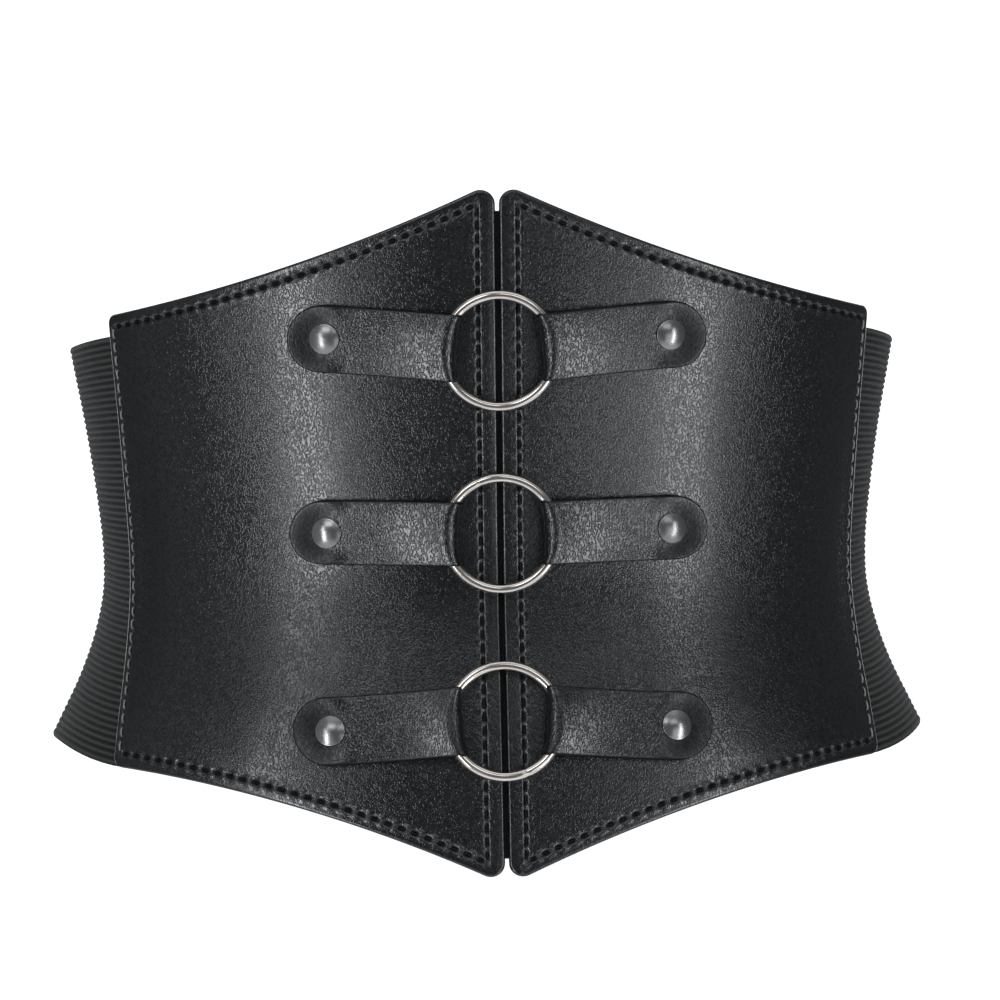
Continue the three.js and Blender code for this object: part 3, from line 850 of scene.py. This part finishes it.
def placket_object():
    """The plain strip behind the centre gap"""
    half = PLACKET_WIDTH / 2
    corners = PLACKET_CORNER, PLACKET_CORNER
    outline = Outline(-half, half, level(PLACKET_RISE), level(PLACKET_DROP), corners)
    places, depth, faces, size = patch(outline, PLACKET_INSETS, *PLACKET_MESH)
    dip = rounded(depth, PLACKET_ROUND)
    outer = on_body(places[:, 0], places[:, 1], BAND_WALL - dip)
    inner = on_body(places[:, 0], places[:, 1], dip)
    points, every = close_wall(outer, inner, faces, faces, size, True)
    uv = np.tile(places, (2, 1)) * UV_SCALE
    piece = make_object("placket_face", points, every, MATERIALS["placket"], uv)
    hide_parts("front_placket")


# Rings, straps and rivets


class Fastening:
    """Where a ring, its straps and its rivets lie on the body"""

    def __init__(self, name):
        row = FASTENINGS[name]
        share = row["height"]
        self.name = name
        self.joint = math.radians(row["joint"])
        self.z = share * (FRONT_DROP if share < 0 else FRONT_RISE)
        self.touch = body_point(0.0, self.z)
        self.normal = body_normal(np.array(0.0), np.array(self.z))
        needed = LOWER_LAYER + STRAP_WALL / 2 + WRAP_CLEARANCE
        self.fan = float(on_body(np.array(RING_RADIUS), np.array(self.z), needed)[0]) / RING_RADIUS
        across = np.linspace(-1, 1, 13) * STRAP_WIDTH / 2
        reach = np.sqrt(RING_RADIUS**2 - across**2) / self.fan
        poles = self.fall(np.zeros(2), self.z + np.array([-RING_RADIUS, RING_RADIUS]))
        self.lift = max(
            PANEL_OUTER + WRAP_CLEARANCE,
            float((needed - self.fall(reach, self.z + across)).max()),
            float((PANEL_OUTER + WRAP_CLEARANCE - poles).max()),
        )
        self.centre = self.touch + self.normal * self.lift
        rivet_arc = STRAP_REACH - RIVET_INSET
        rise = (row["rivet"] - row["strap"]) * STRAP_WIDTH
        angle = math.atan2(rise, rivet_arc - RING_RADIUS)
        self.along = math.cos(angle), math.sin(angle)
        self.foot = row["strap"] * STRAP_WIDTH - RING_RADIUS * math.tan(angle)
        self.length = rivet_arc / self.along[0]

    def fall(self, arc, z):
        """How far the body falls behind the ring's plane"""
        return (self.touch - body_point(arc, z)) @ self.normal

    def place(self, reach, across, sign):
        """Arc length and height of a place on a strap"""
        arc = sign * (reach * self.along[0] - across * self.along[1])
        return arc, self.z + self.foot + reach * self.along[1] + across * self.along[0]

    def crossing(self, across):
        """Reach where the wire crosses a strap"""
        start_x = -across * self.along[1] * self.fan
        start_z = self.foot + across * self.along[0]
        step_x = self.along[0] * self.fan
        step_z = self.along[1]
        a = step_x**2 + step_z**2
        b = start_x * step_x + start_z * step_z
        c = start_x**2 + start_z**2 - RING_RADIUS**2
        return (-b + np.sqrt(b**2 - a * c)) / a


RING_SEGMENTS = 220
WIRE_SIDES = 28
JOINT_DEPTH = 0.16 * MM
JOINT_WIDTH = 0.14 * MM


def ring_object(fastening):
    """A ring bent from wire, with a fine groove where its ends meet"""
    turns = np.linspace(0, 2 * math.pi, RING_SEGMENTS, endpoint=False)
    crowded = turns - 0.9 * np.sin(turns)
    turns = crowded + fastening.joint + math.pi
    from_joint = (turns - fastening.joint + math.pi) % (2 * math.pi) - math.pi
    groove = np.exp(-((from_joint * RING_RADIUS / JOINT_WIDTH) ** 2))
    wire = RING_WIRE / 2 - JOINT_DEPTH * groove
    x_axis = np.array([1.0, 0.0, 0.0])
    up = np.cross(fastening.normal, x_axis)
    out = np.cos(turns)[:, None] * x_axis + np.sin(turns)[:, None] * up
    sides = np.linspace(0, 2 * math.pi, WIRE_SIDES, endpoint=False)
    points = []
    for direction, radius in zip(out, wire):
        middle = fastening.centre + direction * RING_RADIUS
        section = np.cos(sides)[:, None] * direction + np.sin(sides)[:, None] * fastening.normal
        points.append(middle + radius * section)
    faces = turned(quads(RING_SEGMENTS, WIRE_SIDES, around=True))
    points = np.concatenate(points)
    piece = make_object(f"ring_{fastening.name}_wire", points, faces, MATERIALS["ring"])
    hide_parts(f"ring_{fastening.name}")


# Mesh of a strap: slices and samples of its middle, how many smooth it, and its borders
STRAP_SLICES = 41
STRAP_SAMPLES = 900
STRAP_WINDOW = 9
STRAP_ACROSS = 28
STRAP_ALONG = 160
STRAP_INSETS = np.array([0, 0.03, 0.1, 0.22, 0.38, 0.58, 1.0]) * MM
STRAP_ROUND = 0.55 * MM
STRAP_RIM = 0.5 * MM

# Painted shade round a rivet, which fades towards the ring
DISH_SHADE_SHARE = 0.75
DISH_SHADE_WIDTH = 5.5 * MM
DISH_SHADE_START = 0.6
DISH_SHADE_FADE = 9 * MM


def eased(share):
    """A smooth step from 0 to 1"""
    return share**2 * (3 - 2 * share)


def strap_lines(fastening, sign):
    """Middle of the leather for slices across the strap, as reach and lift along each slice"""
    slices = np.linspace(-1, 1, STRAP_SLICES) * STRAP_WIDTH / 2
    turn = RING_WIRE / 2 + WRAP_PLAY + STRAP_WALL / 2
    end = fastening.length + RIVET_INSET
    cap_edge = RIVET_CAP / 2
    lines = []
    for across in slices:
        wire = fastening.crossing(across)
        arc, z = fastening.place(wire, across, sign)
        wire_lift = fastening.lift + float(fastening.fall(arc, z))
        fold = FOLD_REACH - FOLD_CORNER * (2 * abs(across) / STRAP_WIDTH) ** 4 + STRAP_WALL / 2
        shares = np.linspace(1, 0, 160)[:-1]
        rise = (wire_lift - turn - LOWER_LAYER) * (1 - shares) ** 4
        lower = np.stack([wire + (end - wire) * shares, LOWER_LAYER + rise], axis=1)
        angles = np.linspace(-math.pi / 2, math.pi / 2, 90)
        wrap_reach = wire - (wire - fold) * np.cos(angles)
        wrap = np.stack([wrap_reach, wire_lift + turn * np.sin(angles)], axis=1)
        span = fastening.length - cap_edge - wire
        reach = wire + (end - wire) * np.linspace(0, 1, 260)[1:]
        share = np.minimum((reach - wire) / span, 1)
        ramp = (wire_lift + turn - UPPER_LAYER) * (1 - share) ** RAMP_POWER
        from_cap = np.maximum(np.hypot(reach - fastening.length, across) - cap_edge, 0)
        puff = RIVET_DIMPLE * (1 - np.exp(-((from_cap / cap_edge) ** 2)))
        risen = np.clip((reach - fastening.length) / DIMPLE_RISE + 1, 0, 1)
        lift = UPPER_LAYER + ramp + puff * eased(risen)
        upper = np.stack([reach, lift], axis=1)
        lines.append(resample(np.concatenate([lower, wrap, upper]), STRAP_SAMPLES))
    lines = np.array(lines)
    window = STRAP_WINDOW
    count = 2 * window + 1
    padded = np.pad(lines, ((0, 0), (window, window), (0, 0)), mode="edge")
    smooth = sum(padded[:, k : k + lines.shape[1]] for k in range(count)) / count
    smooth[:, :window] = lines[:, :window]
    smooth[:, -window:] = lines[:, -window:]
    return slices, smooth


def read_lines(slices, lines, across, along):
    """Reach and lift at places across the strap and shares along it"""
    i = np.clip((across - slices[0]) / (slices[1] - slices[0]), 0, STRAP_SLICES - 1.001)
    j = np.clip(along * STRAP_SAMPLES, 0, STRAP_SAMPLES - 0.001)
    a, b = i.astype(int), j.astype(int)
    s, t = (i - a)[:, None], (j - b)[:, None]
    near = lines[a, b] * (1 - t) + lines[a, b + 1] * t
    far = lines[a + 1, b] * (1 - t) + lines[a + 1, b + 1] * t
    return near * (1 - s) + far * s


def strap_object(fastening, side):
    """A strap that goes from under its rivet round the ring's wire and back over it"""
    sign = SIDES[side]
    slices, lines = strap_lines(fastening, sign)
    steps = np.linalg.norm(np.diff(lines, axis=1), axis=2).sum(axis=1)
    length = steps[STRAP_SLICES // 2]
    half = STRAP_WIDTH / 2
    end = level(length / 2)
    outline = Outline(-half, half, end, end, (half * 0.999, half * 0.999))
    places, depth, faces, size = patch(outline, STRAP_INSETS, STRAP_ACROSS, STRAP_ALONG, 1)

    def middle(across, flat):
        """Points of the leather's middle for places on the flat strap"""
        share = np.clip(flat / length + 0.5, 0, 1)
        slice_length = np.interp(across, slices, steps)
        bend = np.clip((share - 0.3) / 0.4, 0, 1)
        walked = share * length + (slice_length - length) * eased(bend)
        reach, lift = read_lines(slices, lines, across, walked / slice_length).T
        arc, z = fastening.place(reach, across, sign)
        return on_body(arc, z, lift)

    near = 0.15 * MM
    across = np.clip(places[:, 0], -half + near, half - near)
    flat = np.clip(places[:, 1], -length / 2 + near, length / 2 - near)
    along_step = middle(across, flat + near) - middle(across, flat - near)
    across_step = middle(across + near, flat) - middle(across - near, flat)
    normal = unit(np.cross(along_step, across_step)) * -sign
    centre = middle(places[:, 0], places[:, 1])
    thickness = STRAP_WALL / 2 - rounded(depth, STRAP_ROUND)
    outer = centre + normal * thickness[:, None]
    inner = centre - normal * thickness[:, None]
    points, every = close_wall(outer, inner, faces, faces, size, sign > 0)
    rim = np.exp(-((depth / STRAP_RIM) ** 2))
    past_rivet = places[:, 1] - (length / 2 - RIVET_INSET)
    from_cap = np.maximum(np.hypot(places[:, 0], past_rivet) - RIVET_CAP / 2, 0)
    outer_side = np.clip(DISH_SHADE_START + past_rivet / DISH_SHADE_FADE, 0, 1)
    dish_shade = DISH_SHADE_SHARE * outer_side * np.exp(-((from_cap / DISH_SHADE_WIDTH) ** 2))
    # Painted shade along the strap's edges and round its rivet
    marks = {"rim": np.tile(rim, 2), "painted_shade": np.tile(np.maximum(rim, dish_shade), 2)}
    uv = np.tile(places, (2, 1)) * UV_SCALE
    name = f"strap_{fastening.name}_{side}_leather"
    piece = make_object(name, points, every, MATERIALS["strap"], uv, marks)
    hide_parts(f"strap_{fastening.name}_{side}")


RIVET_SIDES = 72
CAP_SOFT = 0.22 * MM
BACK_SOFT = 0.3 * MM


def rivet_profile():
    """Radius and distance from the body along a rivet's outline, from its back to its top"""
    back_top = PANEL_INNER - GAP
    back_bottom = back_top - RIVET_BACK_WALL
    cap_bottom = UPPER_LAYER + STRAP_WALL / 2 + GAP * 0.4
    back = RIVET_BACK / 2 - BACK_SOFT
    cap = RIVET_CAP / 2 - CAP_SOFT
    shank = RIVET_SHANK / 2
    turns = np.linspace(-math.pi / 2, math.pi / 2, 7)
    rows = [(0, back_bottom), (back, back_bottom)]
    for turn in turns:
        height = (back_top - back_bottom) * (0.5 + 0.5 * math.sin(turn))
        rows.append((back + BACK_SOFT * math.cos(turn), back_bottom + height))
    rows += [(shank, back_top), (shank, cap_bottom), (cap, cap_bottom)]
    for turn in turns:
        rows.append((cap + CAP_SOFT * math.cos(turn), cap_bottom + CAP_SOFT * (1 + math.sin(turn))))
    rim_top = cap_bottom + 2 * CAP_SOFT
    dome_height = UPPER_LAYER + STRAP_WALL / 2 + GAP + RIVET_RIM + RIVET_DOME - rim_top
    for share in np.linspace(0.96, 0, 22):
        rows.append((cap * share, rim_top + dome_height * (1 - share**2)))
    return np.array(rows, float)


def rivet_object(fastening, side):
    """A domed cap, a shank and a flat back, in one piece"""
    sign = SIDES[side]
    arc, z = fastening.place(fastening.length, 0.0, sign)
    foot = body_point(arc, z)
    axis = body_normal(np.array(arc), np.array(z))
    first = unit(np.cross(axis, [0.0, 0.0, 1.0]))
    second = np.cross(axis, first)
    turns = np.linspace(0, 2 * math.pi, RIVET_SIDES, endpoint=False)
    profile = rivet_profile()
    ring = np.cos(turns)[:, None] * first + np.sin(turns)[:, None] * second
    inside = profile[1:-1]
    body = foot + inside[:, None, :1] * ring + inside[:, None, 1:] * axis
    ends = foot + profile[[0, -1], 1:] * axis
    points = np.concatenate([body.reshape(-1, 3), ends])
    rows = len(inside)
    faces = quads(rows, RIVET_SIDES)
    tail = rows * RIVET_SIDES
    for j in range(RIVET_SIDES):
        k = (j + 1) % RIVET_SIDES
        faces.append((tail, k, j))
        faces.append((tail + 1, tail - RIVET_SIDES + j, tail - RIVET_SIDES + k))
    piece = make_object(f"rivet_{fastening.name}_{side}_metal", points, faces, MATERIALS["rivet"])
    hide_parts(f"rivet_{fastening.name}_{side}")


# Stage, light and camera

# Metres, with the camera's lens and sensor in millimetres. FRONT_DEPTH is the depth it aims at
FLOOR_HEIGHT = -0.3
FLOOR_RADIUS = 2.6
BACKDROP_BEND = 0.6
BACKDROP_HEIGHT = 6.0
STAGE_SIDES = 96
CAMERA_DISTANCE = 1.405
CAMERA_HEIGHT = 0.0168
CAMERA_AZIMUTH = math.radians(-3.14)
CAMERA_ROLL = math.radians(-0.85)
CAMERA_LENS = 165.5
SENSOR_WIDTH = 36
FRONT_DEPTH = 0.092

# Room that the belt mirrors: light from all round, and how much more from over and under it
ROOM_DIM = 0.19
CEILING_SHARE = 0.35
FLOOR_SHARE = 1.1


def stage_material():
    """Pale paint that shines a little, so that the stage looks evenly lit"""
    n = Nodes("pale_stage")
    soft = n.noise(3.0, 2.0)
    colour = n.blend(soft, (0.86, 0.86, 0.86, 1.0), (0.9, 0.9, 0.9, 1.0))
    n.shader.inputs["Emission Color"].default_value = (1.0, 1.0, 1.0, 1.0)
    n.shader.inputs["Emission Strength"].default_value = 0.8
    return n.finish(colour, 0.9, n.bump(soft, 0.1 * MM, 0.1))


def make_stage():
    """A pale round floor that bends up into a backdrop all round"""
    bend = np.linspace(0, math.pi / 2, 16)
    radii = np.append(FLOOR_RADIUS + BACKDROP_BEND * np.sin(bend), FLOOR_RADIUS + BACKDROP_BEND)
    heights = np.append(BACKDROP_BEND * (1 - np.cos(bend)), BACKDROP_HEIGHT) + FLOOR_HEIGHT
    turns = np.linspace(0, 2 * math.pi, STAGE_SIDES, endpoint=False)
    points = []
    for radius, height in zip(radii, heights):
        points += [(radius * math.cos(t), radius * math.sin(t), height) for t in turns]
    faces = [tuple(range(STAGE_SIDES)), *turned(quads(len(radii), STAGE_SIDES))]
    mesh = bpy.data.meshes.new("floor")
    mesh.from_pydata(points, [], faces)
    mesh.polygons.foreach_set("use_smooth", [True] * len(faces))
    mesh.materials.append(stage_material())
    floor = bpy.data.objects.new("floor", mesh)
    bpy.context.scene.collection.objects.link(floor)
    floor.visible_glossy = False
    floor.visible_diffuse = False
    floor.visible_shadow = False


# Softboxes. Columns: azimuth from the front towards +X, height over the horizon and lean from
# upright, in degrees, then distance and size in metres, and power in watts
SOFTBOXES = {
    "left_low": (-39, -16, 4, 1.5, (0.23, 0.98), 8.7),
    "left_middle": (-42, 10, 0, 1.5, (0.2, 0.42), 1.9),
    "left_high": (-22, 30, 0, 1.5, (0.75, 0.42), 3.6),
    "left_fill": (-20, -19, 0, 1.55, (0.5, 0.85), 0.35),
    "right_low": (44, -16, 0, 1.5, (0.26, 0.98), 7.6),
    "right_middle": (44, 9, 0, 1.5, (0.23, 0.36), 1.4),
    "right_high": (18, 26, 0, 1.5, (0.7, 0.42), 1.7),
    "right_fill": (24, -17, 0, 1.55, (0.6, 0.9), 2.0),
    "left_side": (-74, 4, 0, 1.5, (0.8, 1.8), 1),
    "back_left": (-150, 12, 0, 1.5, (0.8, 1.4), 9),
    "back_right": (150, 12, 0, 1.5, (0.8, 1.4), 9),
    "top_box": (0, 72, 0, 1.4, (1.6, 0.9), 3),
}
LIGHT_COLOUR = 0.955, 0.98, 1.0
ROOM_COLOUR = 0.9, 0.96, 1.03, 1.0


def direction(azimuth, height):
    """Unit vector towards an azimuth and a height over the horizon, in radians"""
    level = math.cos(height)
    return Vector((math.sin(azimuth) * level, -math.cos(azimuth) * level, math.sin(height)))


def make_lights():
    for name, (azimuth, height, lean, distance, size, power) in SOFTBOXES.items():
        light = bpy.data.lights.new(name, "AREA")
        light.shape = "RECTANGLE"
        light.size, light.size_y = size
        light.energy = power
        light.color = LIGHT_COLOUR
        out = direction(math.radians(azimuth), math.radians(height))
        lamp = bpy.data.objects.new(name, light)
        lamp.location = out * distance
        lamp.rotation_mode = "QUATERNION"
        lamp.rotation_quaternion = Quaternion(out, math.radians(-lean)) @ out.to_track_quat("Z", "Y")
        bpy.context.scene.collection.objects.link(lamp)


def make_world():
    """A dim room with a pale floor and ceiling"""
    world = bpy.data.worlds.new("room")
    world.use_nodes = True
    nodes = world.node_tree.nodes
    links = world.node_tree.links
    place = nodes.new("ShaderNodeTexCoord")
    split = nodes.new("ShaderNodeSeparateXYZ")
    total = nodes.new("ShaderNodeMath")
    for socket, start, full, low, high in (
        (total.inputs[0], 0.45, 0.85, ROOM_DIM, ROOM_DIM + CEILING_SHARE),
        (total.inputs[1], -0.4, -0.8, 0.0, FLOOR_SHARE),
    ):
        height = nodes.new("ShaderNodeMapRange")
        height.interpolation_type = "SMOOTHSTEP"
        for number_socket, number in zip(height.inputs[1:5], (start, full, low, high)):
            number_socket.default_value = number
        links.new(split.outputs[2], height.inputs["Value"])
        links.new(height.outputs[0], socket)
    links.new(place.outputs["Generated"], split.inputs[0])
    links.new(total.outputs[0], nodes["Background"].inputs["Strength"])
    nodes["Background"].inputs["Color"].default_value = ROOM_COLOUR
    bpy.context.scene.world = world


def make_camera():
    """Level, a little to the left of the centre line, and held slightly askew"""
    data = bpy.data.cameras.new("camera")
    data.sensor_width = SENSOR_WIDTH
    data.lens = CAMERA_LENS
    camera = bpy.data.objects.new("camera", data)
    bpy.context.scene.collection.objects.link(camera)
    out = direction(CAMERA_AZIMUTH, 0.0)
    aim = Vector((0.0, -FRONT_DEPTH, CAMERA_HEIGHT))
    turn = out.to_track_quat("Z", "Y").to_matrix().to_4x4()
    roll = Matrix.Rotation(CAMERA_ROLL, 4, "Z")
    camera.matrix_world = Matrix.Translation(aim + out * CAMERA_DISTANCE) @ turn @ roll
    bpy.context.scene.camera = camera


make_stage()
make_lights()
make_world()
make_camera()
bpy.context.scene.view_settings.view_transform = "Standard"
bpy.context.scene.cycles.denoising_prefilter = "FAST"

band_object()
placket_object()
for side, sign in SIDES.items():
    panel_object(f"panel_{side}_face", sign)
    stitches_object(f"stitches_{side}", sign)
for name in FASTENINGS:
    fastening = Fastening(name)
    ring_object(fastening)
    for side in SIDES:
        strap_object(fastening, side)
        rivet_object(fastening, side)
